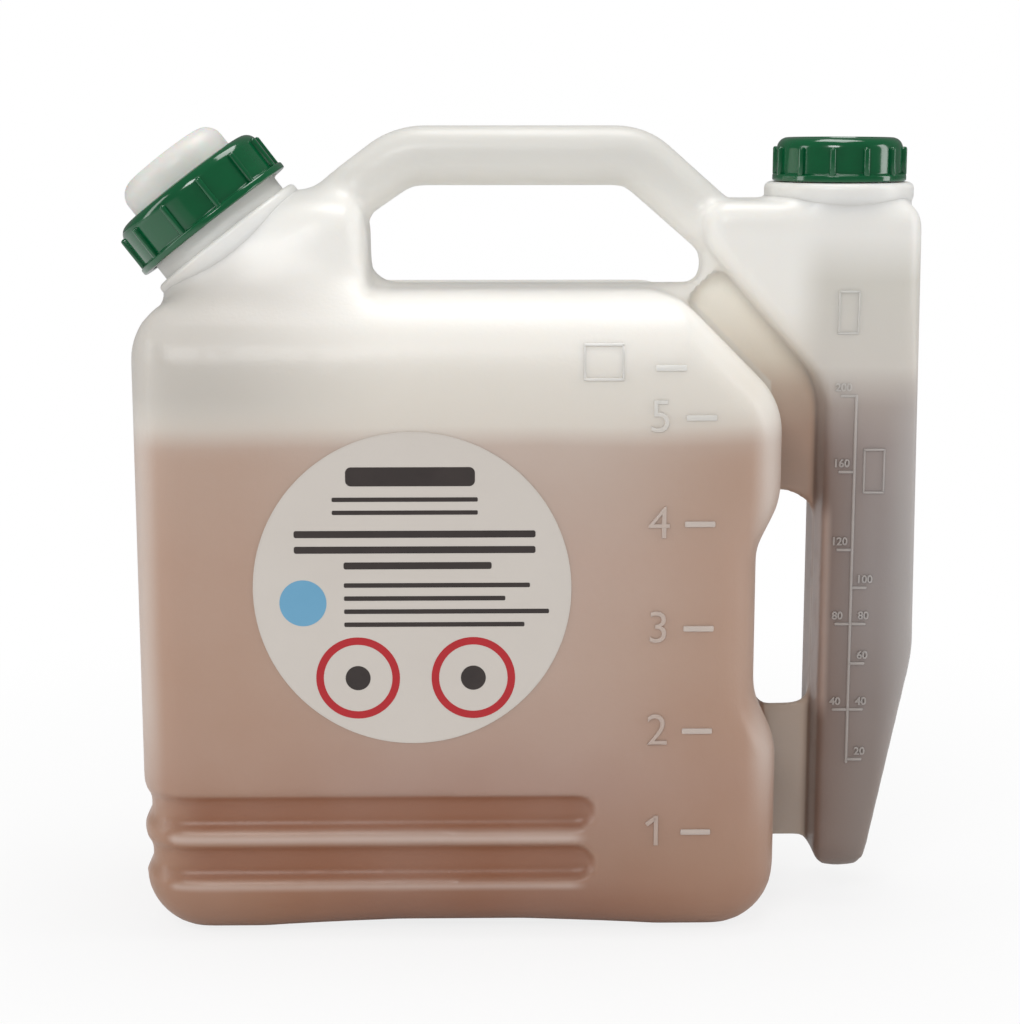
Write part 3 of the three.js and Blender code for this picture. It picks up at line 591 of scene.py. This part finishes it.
neckFrame = neckPlace @ Matrix.Rotation(-math.radians(neck["tilt"]), 4, "Y")


def tankForm():
    form = slabForm(tank["outline"], tank["depth"], tank["edge"])
    form = cutWith(form, sideForm(tank["shoulders"], *tank["length"]), "INTERSECT")
    coreLeft, coreHalf, coreRadius, coreHeight = tank["grooveCore"]
    past = tank["past"]
    half = tank["grooveHalf"]
    end = tank["grooveEnd"]
    for middle in tank["grooveHeights"]:
        low, high = middle - half, middle + half
        bar = slabForm([(-past, low), (end, low, half - 0.3), (end, high, half - 0.3), (-past, high)], past)
        core = slabForm([(coreLeft, -coreHalf, coreRadius), (past, -coreHalf), (past, coreHalf),
                         (coreLeft, coreHalf, coreRadius)], coreHeight)
        moved(core, (0, 0, middle), Matrix.Rotation(math.pi / 2, 4, "X"))
        form = cutWith(form, cutWith(bar, core, "DIFFERENCE"), "DIFFERENCE")
    return form


def towerForm():
    wide = slabForm(tower["outline"], tank["depth"], tower["edge"])
    cone = moved(turnedForm(tower["flare"], 64), turn=neckFrame)
    narrow = slabForm(tower["outline"], tower["depth"], tower["edge"])
    return merged([cutWith(wide, cone, "INTERSECT"), narrow])


def handleForm():
    plate = slabForm(handle["outline"], handle["depth"], handle["edge"], handle["gap"])
    return cutWith(plate, slabForm(handle["shown"], handle["shownDepth"]), "INTERSECT")


def chamberForm():
    form = slabForm(chamber["outline"], chamber["depth"], chamber["edge"])
    form = cutWith(form, sideForm(chamber["side"], *chamber["length"]), "INTERSECT")
    return merged([form, moved(turnedForm(chamber["pedestal"], 64), (chamber["neckX"], 0, 0))])


def neckBead():
    # the bead and the stub under it, which melt into the tower
    low, high, bead = neck["beadBottom"], neck["beadTop"], neck["bead"]
    stub = bead - 1.5
    return moved(turnedForm([(0, low - 8), (stub, low - 8), (stub, low - 1), (bead, low + 1, 0.8),
                             (bead, high, 1.6), (0, high)], 64), turn=neckFrame)


thread = {"sunk": 0.4, "footHalf": 1.1, "crestHalf": 0.35, "stepsPerTurn": 48, "neckTurns": 1.6,
          "capTurns": 1.5, "capStart": 4, "capSunk": 0.3, "capRise": -1}


def threadForm(radius, rise, pitch, turns, start):
    # one helical ridge: a small section swept up and round
    bm = bmesh.new()
    foot, crest = thread["footHalf"], thread["crestHalf"]
    inner, outer = radius - thread["sunk"], radius + rise
    verts = [bm.verts.new(co) for co in ((inner, 0, -foot), (outer, 0, -crest), (outer, 0, crest),
                                         (inner, 0, foot))]
    section = bm.faces.new(verts)
    steps = int(thread["stepsPerTurn"] * turns)
    bmesh.ops.spin(bm, geom=[section] + section.edges[:] + verts, cent=(0, 0, 0), axis=(0, 0, 1),
                   dvec=(0, 0, pitch * turns / steps), angle=2 * math.pi * turns, steps=steps)
    bmesh.ops.recalc_face_normals(bm, faces=bm.faces)
    return moved(bm, (0, 0, start))


def neckTube(radius, bore, low, rim):
    return turnedForm([(bore, low), (radius, low), (radius, rim, 0.8), (bore, rim, 0.8)], 96)


def neckFloor(radius, height):
    return turnedForm([(0, height - 1), (radius, height - 1), (radius, height), (0, height)], 48)


def bodySkin():
    # all the forms run together, then melt into one moulded skin
    rough = merged([tankForm(), towerForm(), handleForm(), chamberForm(), neckBead(),
                    slabForm(web["outline"], web["thickness"], 0, web["window"])])
    obj = asObject(rough, "roughBody")
    melt = obj.modifiers.new("melt", "REMESH")
    melt.mode = "VOXEL"
    melt.voxel_size = skinFinish["voxel"]
    bm = applied(obj)
    for _ in range(skinFinish["smoothings"]):
        bmesh.ops.smooth_vert(bm, verts=bm.verts, factor=skinFinish["smoothing"], use_axis_x=True,
                              use_axis_y=True, use_axis_z=True)
    # the tower runs softly into the handle and the tank, and the oil neck into its chamber
    for (left, right, low, high), rounds in skinFinish["softPlaces"]:
        soft = [v for v in bm.verts if left < v.co.x < right and low < v.co.z < high]
        for _ in range(rounds):
            bmesh.ops.smooth_vert(bm, verts=soft, factor=skinFinish["smoothing"], use_axis_x=True,
                                  use_axis_y=True, use_axis_z=True)
    return bm


print("melting the body")
skinMesh = bodySkin()
print("body skin", len(skinMesh.faces), "faces")

scales = {
    "front": -57, "relief": 0.7, "markLength": 11.2, "markHeight": 2.1, "markLeft": 82.4,
    "litres": [(1, 42.3), (2, 81.4), (3, 120.4), (4, 159.5), (5, 198.6)],
    "digitX": 73.2, "digitSize": 17, "fillMark": (71.2, 216.7),
    "emptyFrame": (45.2, 60, 212.2, 225.4),
    "chamberFront": -23.5, "lineX": 149.7, "line": (58.5, 202.7), "stroke": 1.1, "smallMark": 6,
    "leftMarks": [202.1, 173.1, 143, 114, 80.1], "rightMarks": [128.2, 114, 98.4, 80.1, 60.1],
    "chamberFrames": [(141.5, 149.6, 225.6, 242), (153, 161.3, 164.8, 182)],
    "smallDigits": 4.2, "digitAside": 5, "digitAbove": 3.2, "digitDepth": 0.6, "sunk": 1,
    "lean": (200, 236, 3.5), "flagOfOne": (71.3, 46.6, 4.4, 1.7), "flagTilt": -38,
}


def raisedBar(left, right, low, high, front):
    # half sunk in the wall, raised by the relief
    relief, sunk = scales["relief"], scales["sunk"]
    centre = ((left + right) / 2, front + (sunk - relief) / 2, (low + high) / 2)
    edge = min(0.45, (high - low) / 3)
    return painted(boxForm((right - left, sunk + relief, high - low), centre, edge, 2), 1)


def raisedFrame(left, right, low, high, front, stroke=0.9):
    return merged([
        raisedBar(left, left + stroke, low, high, front), raisedBar(right - stroke, right, low, high, front),
        raisedBar(left, right, low, low + stroke, front), raisedBar(left, right, high - stroke, high, front)])


def raisedNumber(text, x, z, size, front, thickness=0.12, thinner=0):
    curve = bpy.data.curves.new("number", "FONT")
    curve.body = text
    curve.size = size
    curve.align_x = "CENTER"
    curve.align_y = "CENTER"
    curve.extrude = scales["digitDepth"]
    curve.bevel_depth = thickness
    curve.offset = -thinner
    curve.bevel_resolution = 1
    curve.resolution_u = 4
    obj = bpy.data.objects.new("number", curve)
    bpy.context.scene.collection.objects.link(obj)
    bm = applied(obj)
    bmesh.ops.remove_doubles(bm, verts=bm.verts, dist=1e-3)
    moved(bm, turn=Matrix.Rotation(math.pi / 2, 4, "X"))
    return painted(moved(bm, (x, front + scales["digitDepth"] + thickness - scales["relief"], z)), 1)


def scaleParts():
    front = scales["front"]
    half = scales["markHeight"] / 2
    left = scales["markLeft"]
    parts = []
    for count, z in scales["litres"]:
        parts.append(painted(raisedBar(left, left + scales["markLength"], z - half, z + half, front), 2))
        parts.append(raisedNumber(str(count), scales["digitX"], z, scales["digitSize"], front, 0.25, 0.3))
    # the built-in font's 1 is a plain stroke, so it gets its flag
    across, up, length, thick = scales["flagOfOne"]
    flag = boxForm((length, scales["sunk"] + scales["relief"], thick), (0, 0, 0), 0.4)
    moved(flag, turn=Matrix.Rotation(math.radians(scales["flagTilt"]), 4, "Y"))
    parts.append(painted(moved(flag, (across, front + (scales["sunk"] - scales["relief"]) / 2, up)), 1))
    left, fillZ = scales["fillMark"]
    parts.append(painted(raisedBar(left, left + scales["markLength"], fillZ - half, fillZ + half, front), 2))
    parts.append(painted(raisedFrame(*scales["emptyFrame"], front), 2))
    return parts


def bentBack(bm):
    # marks above the flat front follow the rounding of the tank's shoulder
    radius = tank["shoulders"][2][2]
    start = tank["shoulders"][2][1] - radius
    for vert in bm.verts:
        rise = max(0, vert.co.z - start)
        vert.co.y += radius - math.sqrt(radius ** 2 - rise ** 2)
    return bm


def leaned(bm):
    # the chamber's front leans out towards its wide head
    low, high, reach = scales["lean"]
    for vert in bm.verts:
        share = min(1, max(0, (vert.co.z - low) / (high - low)))
        vert.co.y -= reach * share
    return bm


def chamberScaleParts():
    face = scales["chamberFront"]
    lineX = scales["lineX"]
    thin = scales["stroke"] / 2
    parts = [raisedBar(lineX - thin, lineX + thin, *scales["line"], face)]
    # marks on the line's left count in forties, those on its right in twenties
    for side, unit, marks in ((-1, 40, scales["leftMarks"]), (1, 20, scales["rightMarks"])):
        end = lineX + side * scales["smallMark"]
        for step, z in enumerate(reversed(marks)):
            parts.append(raisedBar(min(lineX, end), max(lineX, end), z - thin, z + thin, face))
            parts.append(raisedNumber(str(unit * (step + 1)), lineX + side * scales["digitAside"],
                                      z + scales["digitAbove"], scales["smallDigits"], face))
    parts.extend(raisedFrame(*place, face, 0.8) for place in scales["chamberFrames"])
    return parts


def neckParts():
    tube = merged([
        neckTube(neck["radius"], neck["bore"], neck["beadBottom"], neck["rim"]),
        neckFloor(neck["radius"] - 1, neck["beadTop"] + 1),
        threadForm(neck["radius"], neck["threadRise"], neck["threadPitch"], thread["neckTurns"], 0)])
    moved(tube, turn=neckFrame)
    oilTube = merged([
        neckTube(chamber["neckRadius"], chamber["neckBore"], chamber["neckLow"], chamber["neckRim"]),
        neckFloor(chamber["neckRadius"] - 1, chamber["neckFloor"]),
        threadForm(chamber["neckRadius"], chamber["threadRise"], chamber["threadPitch"],
                   thread["neckTurns"], chamber["threadStart"])])
    moved(oilTube, (chamber["neckX"], 0, 0))
    collar = moved(turnedForm(chamber["collar"], 96), (chamber["neckX"], 0, 0))
    low, high, bead = neck["beadBottom"], neck["beadTop"], neck["bead"]
    beadRing = moved(turnedForm([(0, low - 2), (bead - 0.6, low - 2), (bead, low + 0.6, 1.2),
                                 (bead, high, 1.8), (0, high)], 96), turn=neckFrame)
    return [tube, oilTube, collar, beadRing]


bodyMesh = merged([skinMesh, merged(neckParts()), bentBack(merged(scaleParts())),
                   leaned(merged(chamberScaleParts()))])
piece(bodyMesh, "canisterBody", "canister", [naturalPlastic, thickPlastic, markPlastic],
      "canister_body")


ribs = {"count": 12, "width": 2.3, "rise": 1.6, "inside": 2, "edge": 0.9, "sunk": 0.6, "topGap": 3.4}


def ribSet(radius, low, high):
    parts = []
    size = (ribs["rise"] + ribs["inside"], ribs["width"], high - low)
    centre = (radius + (ribs["rise"] - ribs["inside"]) / 2, 0, (low + high) / 2)
    for i in range(ribs["count"]):
        rib = boxForm(size, centre, ribs["edge"], 3)
        turn = Matrix.Rotation(2 * math.pi * (i + 0.5) / ribs["count"], 4, "Z")
        parts.append(moved(rib, turn=turn))
    return parts


screwRing = {"height": 19, "radius": 31.5, "flange": 33.5, "flangeHeight": 2.6, "wall": 1.7, "lip": 2.4,
             "hole": 22.8}


def screwRingForm():
    r = screwRing
    bore = r["radius"] - r["wall"]
    shell = turnedForm([
        (bore, 0, 0.4), (r["flange"], 0, 0.7), (r["flange"], r["flangeHeight"], 0.9),
        (r["radius"], r["flangeHeight"] + 0.4, 0.5), (r["radius"], r["height"], 4.6),
        (r["hole"], r["height"], 0.6), (r["hole"], r["height"] - r["lip"], 0.4),
        (bore, r["height"] - r["lip"], 0.6)], 120)
    ridge = threadForm(bore + thread["capSunk"], thread["capRise"], neck["threadPitch"],
                       thread["capTurns"], thread["capStart"])
    return merged([shell, ridge] + ribSet(r["radius"], r["flangeHeight"] - ribs["sunk"],
                                          r["height"] - ribs["topGap"]))


ringMesh = moved(screwRingForm(), turn=neckFrame)
piece(ringMesh, "screwRing", "ring", [greenPlastic], "screw_ring")

plug = {"radius": 22.2, "wall": 1.8, "flange": 28.7, "low": 14.4, "flangeTop": 16.3, "top": 31, "edge": 7}


def plugForm():
    p = plug
    inner = p["radius"] - p["wall"]
    return turnedForm([
        (inner, p["low"], 0.4), (p["flange"], p["low"], 0.5), (p["flange"], p["flangeTop"], 0.5),
        (p["radius"], p["flangeTop"], 0.6), (p["radius"], p["top"], p["edge"]), (0, p["top"]),
        (0, p["top"] - p["wall"]), (inner, p["top"] - p["wall"], p["edge"] - p["wall"])], 96)


piece(moved(plugForm(), turn=neckFrame), "sealingPlug", "neck_seal", [plugPlastic],
      "sealing_plug")

oilCap = {"bottom": 281.6, "height": 16.2, "radius": 23.7, "flange": 25.2, "flangeHeight": 2.5, "wall": 1.7,
          "top": 1.8, "dish": 18.4, "dishDepth": 0.5}


def oilCapForm():
    c = oilCap
    low = c["bottom"]
    high = low + c["height"]
    bore = c["radius"] - c["wall"]
    shell = turnedForm([
        (bore, low, 0.4), (c["flange"], low, 0.6), (c["flange"], low + c["flangeHeight"], 0.8),
        (c["radius"], low + c["flangeHeight"] + 0.4, 0.5), (c["radius"], high, 4.2),
        (c["dish"], high, 0.6), (c["dish"] - 0.6, high - c["dishDepth"], 0.5), (0, high - c["dishDepth"]),
        (0, high - c["top"]), (bore, high - c["top"], 0.5)], 120)
    ridge = threadForm(bore + thread["capSunk"], thread["capRise"], chamber["threadPitch"],
                       thread["capTurns"], low + thread["capStart"])
    return merged([shell, ridge] + ribSet(c["radius"], low + c["flangeHeight"] - ribs["sunk"],
                                          high - ribs["topGap"]))


capMesh = moved(oilCapForm(), (chamber["neckX"], 0, 0))
piece(capMesh, "oilCap", "cap", [greenPlastic], "oil_cap")


label = {
    "centre": (-17, 135.6), "radius": 58.2, "front": -57.3, "back": -56.98, "inkDepth": 0.05,
    # plain bars stand where a label has its lines of print: left, right, height, thickness
    "bars": [(-24, 23, 41.8, 7), (-29, 24, 33.4, 1.6), (-29, 24, 28.6, 1.6), (-43, 45, 20.6, 2.6),
             (-43, 45, 14.8, 2.6), (-25, 29, 8.9, 2.6), (-25, 43, 1.6, 1.7), (-25, 34, -3.3, 1.7),
             (-25, 50, -8.2, 1.7), (-25, 41, -13.1, 1.7)],
    "blue": (-40, -5, 8.6), "rings": [(-20.2, -33.3, 15.4), (22.2, -33.3, 15.4)], "ringWidth": 2.8,
    "spot": 4.6, "inkSunk": 0.1, "rimInset": 0.2, "rimWidth": 0.25, "barRounding": 0.3,
}


def discForm(radius, centre, front, back, steps, hole=0):
    # a flat disc or ring that faces the front
    thick = back - front
    bm = turnedForm([(hole, 0), (radius, 0), (radius, thick), (hole, thick)], steps)
    return moved(bm, (centre[0], back, centre[1]), Matrix.Rotation(math.pi / 2, 4, "X"))


def labelForm():
    cx, cz = label["centre"]
    front = label["front"]
    inkFront = front - label["inkDepth"]
    inkBack = front + label["inkSunk"]
    rim = label["radius"] - label["rimInset"]
    parts = [painted(discForm(label["radius"], label["centre"], front, label["back"], 128), 0),
             painted(discForm(rim, label["centre"], inkFront, inkBack, 72, rim - label["rimWidth"]), 0)]
    for left, right, z, height in label["bars"]:
        low, high, rounding = cz + z - height / 2, cz + z + height / 2, height * label["barRounding"]
        bar = slabForm([(cx + left, low, rounding), (cx + right, low, rounding), (cx + right, high, rounding),
                        (cx + left, high, rounding)], inkBack - inkFront)
        parts.append(painted(moved(bar, (0, (inkFront + inkBack) / 2, 0)), 1))
    x, z, radius = label["blue"]
    parts.append(painted(discForm(radius, (cx + x, cz + z), inkFront, inkBack, 64), 2))
    for x, z, radius in label["rings"]:
        parts.append(painted(discForm(radius, (cx + x, cz + z), inkFront, inkBack, 72,
                                      radius - label["ringWidth"]), 3))
        parts.append(painted(discForm(label["spot"], (cx + x, cz + z), inkFront, inkBack, 48), 1))
    return merged(parts)


piece(labelForm(), "frontLabel", "canister", [labelFilm, inkBlack, inkBlue, inkRed], "label")


for name, material in (("fuel", fuelLiquid), ("oil", oilLiquid), ("plug_gasket", gasketRubber),
                       ("oil_cap_liner", linerFoam)):
    for place in frame["nodes"][name].material_slots:
        place.material = material
print("pieces done")


backdrop = {"size": 6, "grey": 0.85, "roughness": 0.9, "specular": 0.1,
            # camera rays see the floor fade to plain white between these distances
            "fadeFrom": 0.1, "fadeTo": 0.5, "fadeStart": 0.82}


def makeStage():
    bm = bmesh.new()
    bmesh.ops.create_grid(bm, x_segments=1, y_segments=1, size=backdrop["size"])
    floor = asObject(bm, "floor")
    material = bpy.data.materials.new("paleFloor")
    material.use_nodes = True
    tree = material.node_tree
    shader = tree.nodes["Principled BSDF"]
    shader.inputs["Base Color"].default_value = (backdrop["grey"],) * 3 + (1,)
    shader.inputs["Roughness"].default_value = backdrop["roughness"]
    shader.inputs["Specular IOR Level"].default_value = backdrop["specular"]
    glow = node(tree, "ShaderNodeEmission")
    rays = node(tree, "ShaderNodeLightPath")
    mix = node(tree, "ShaderNodeMixShader")
    spot = node(tree, "ShaderNodeTexCoord")
    away = node(tree, "ShaderNodeVectorMath", operation="LENGTH")
    tree.links.new(spot.outputs["Object"], away.inputs[0])
    fade = node(tree, "ShaderNodeMapRange", interpolation_type="SMOOTHSTEP")
    fade.inputs["From Min"].default_value = backdrop["fadeFrom"]
    fade.inputs["From Max"].default_value = backdrop["fadeTo"]
    fade.inputs["To Min"].default_value = backdrop["fadeStart"]
    tree.links.new(away.outputs["Value"], fade.inputs["Value"])
    tree.links.new(calc(tree, "MULTIPLY", rays.outputs["Is Camera Ray"], fade.outputs[0]), mix.inputs[0])
    tree.links.new(shader.outputs[0], mix.inputs[1])
    tree.links.new(glow.outputs[0], mix.inputs[2])
    tree.links.new(mix.outputs[0], tree.nodes["Material Output"].inputs["Surface"])
    floor.data.materials.append(material)


light = {
    "world": 0.48, "mirrored": 0.16,
    # name, place, target, width, height, watts
    "lamps": [("topBox", (0.1, 0.1, 1.2), (0, 0, 0.15), 0.6, 0.5, 4.6),
              ("leftBox", (-1.15, -0.25, 0.5), (0, 0, 0.15), 0.3, 0.8, 2.6),
              ("rightBox", (1.15, -0.2, 0.5), (0, 0, 0.15), 0.3, 0.8, 3.2),
              ("frontBox", (-0.35, -1.25, 1.05), (0, 0, 0.15), 0.5, 0.4, 6)],
}


def makeWorld():
    world = bpy.data.worlds.new("studio")
    bpy.context.scene.world = world
    world.use_nodes = True
    tree = world.node_tree
    sky = tree.nodes["Background"]
    rays = node(tree, "ShaderNodeLightPath")
    seen = calc(tree, "MAXIMUM", rays.outputs["Is Camera Ray"], rays.outputs["Is Transmission Ray"])
    glossy = calc(tree, "MULTIPLY", rays.outputs["Is Glossy Ray"], light["mirrored"] - light["world"])
    strength = node(tree, "ShaderNodeMapRange")
    tree.links.new(seen, strength.inputs["Value"])
    strength.inputs["To Min"].default_value = light["world"]
    strength.inputs["To Max"].default_value = 1
    tree.links.new(calc(tree, "ADD", strength.outputs[0], glossy), sky.inputs["Strength"])
    sky.inputs["Color"].default_value = (1, 1, 1, 1)


def makeLamps():
    for name, place, target, width, height, watts in light["lamps"]:
        lamp = bpy.data.lights.new(name, "AREA")
        lamp.shape = "RECTANGLE"
        lamp.size = width
        lamp.size_y = height
        lamp.energy = watts
        obj = bpy.data.objects.new(name, lamp)
        obj.location = place
        obj.rotation_euler = (Vector(target) - Vector(place)).to_track_quat("-Z", "Y").to_euler()
        bpy.context.scene.collection.objects.link(obj)


view = {"place": (-0.0187, -0.8356, 0.3086), "target": (-0.0041, 0, 0.1537), "lens": 76.6, "sensor": 36}


def makeCamera():
    data = bpy.data.cameras.new("photoView")
    data.lens = view["lens"]
    data.sensor_width = view["sensor"]
    camera = bpy.data.objects.new("photoView", data)
    camera.location = view["place"]
    aim = Vector(view["target"]) - Vector(view["place"])
    camera.rotation_euler = aim.to_track_quat("-Z", "Y").to_euler()
    bpy.context.scene.collection.objects.link(camera)
    bpy.context.scene.camera = camera


makeStage()
makeWorld()
makeLamps()
makeCamera()
bpy.context.scene.view_settings.view_transform = "Standard"
print("stage ready")
